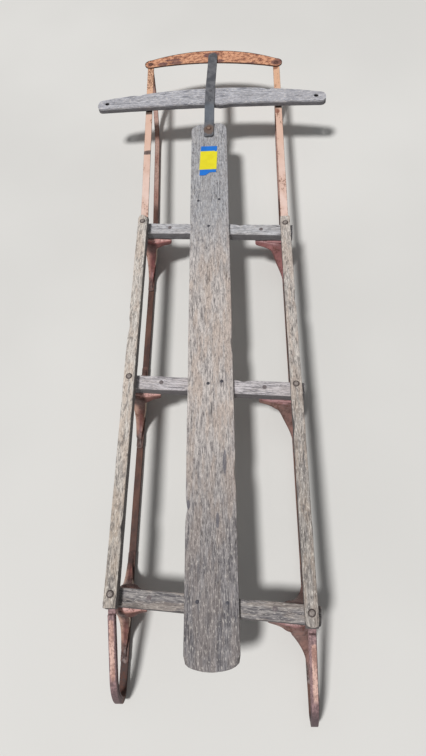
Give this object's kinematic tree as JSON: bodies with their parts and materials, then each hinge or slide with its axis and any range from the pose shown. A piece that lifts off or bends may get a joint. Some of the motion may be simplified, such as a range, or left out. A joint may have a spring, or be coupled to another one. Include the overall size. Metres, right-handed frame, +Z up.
{
  "type": "steerable runner sled",
  "caption": "Long low snow sled: a centre board and two rails on wooden benches, steel knees and runners with rear loops, and a wooden bar on a strap that steers the bumper.",
  "frame": {"origin": "centre of the overall footprint, on the ground under the runners", "axes": "+Y forward to the bumper, along the rails and runners; +X to the rider's right; +Z up"},
  "size_m": [0.6076, 1.6694, 0.1583],
  "materials": {
    "deck_wood": "weathered bare wood",
    "rail_wood": "weathered bare wood",
    "bench_wood": "weathered bare wood",
    "bar_wood": "weathered bare wood",
    "runner_steel": "worn red paint over rust",
    "knee_red": "worn brick red paint",
    "strip_paint": "faded salmon paint with rust",
    "bumper_paint": "faded orange paint with rust",
    "strap_steel": "dark bare steel",
    "fastener_steel": "oxidised steel"
  },
  "bodies": {
    "root": {"deck_board": "deck_wood", "bench_front": "bench_wood", "bench_middle": "bench_wood", "bench_rear": "bench_wood", "rail_left": "rail_wood", "runner_left": "runner_steel", "knee_front_left": "knee_red", "rail_bolt_front_left": "fastener_steel", "knee_middle_left": "knee_red", "rail_bolt_middle_left": "fastener_steel", "knee_rear_left": "knee_red", "rail_bolt_rear_left": "fastener_steel", "rail_right": "rail_wood", "runner_right": "runner_steel", "knee_front_right": "knee_red", "rail_bolt_front_right": "fastener_steel", "knee_middle_right": "knee_red", "rail_bolt_middle_right": "fastener_steel", "knee_rear_right": "knee_red", "rail_bolt_rear_right": "fastener_steel", "deck_washer": "fastener_steel", "deck_pivot_bolt": "fastener_steel"},
    "steering": {"steering_strap": "strap_steel", "handlebar": "bar_wood", "handlebar_bolt_rear": "fastener_steel", "handlebar_bolt_front": "fastener_steel"},
    "bumper_bar": {"bumper": "bumper_paint", "bumper_washer": "fastener_steel", "bumper_pivot": "fastener_steel"},
    "front_left": {"runner_nose_left": "runner_steel", "front_strip_left": "strip_paint"},
    "front_right": {"runner_nose_right": "runner_steel", "front_strip_right": "strip_paint"}
  },
  "joints": [
    {"name": "steering", "type": "hinge", "parent": "root", "child": "steering", "pos_m": [-0.00242, 0.49378, 0.1403], "axis": [0, 0, 1], "range_deg": [-8, 8]},
    {"name": "bumper_swivel", "type": "hinge", "parent": "steering", "child": "bumper_bar", "pos_m": [0.0052, 0.80178, 0.1361], "axis": [0, 0, 1], "range_deg": [-8, 8]},
    {"name": "left_runner_flex", "type": "hinge", "parent": "root", "child": "front_left", "pos_m": [-0.1538, 0.1808, 0.1293], "axis": [0, 0, 1], "range_deg": [-4.2, 4.2]},
    {"name": "right_runner_flex", "type": "hinge", "parent": "root", "child": "front_right", "pos_m": [0.1762, 0.15076, 0.1293], "axis": [0, 0, 1], "range_deg": [-4.2, 4.2]}
  ],
  "couplings": [
    {"joint": "bumper_swivel", "follows": "steering", "ratio": -1},
    {"joint": "left_runner_flex", "follows": "steering", "ratio": 0.5018},
    {"joint": "right_runner_flex", "follows": "steering", "ratio": 0.5071}
  ]
}
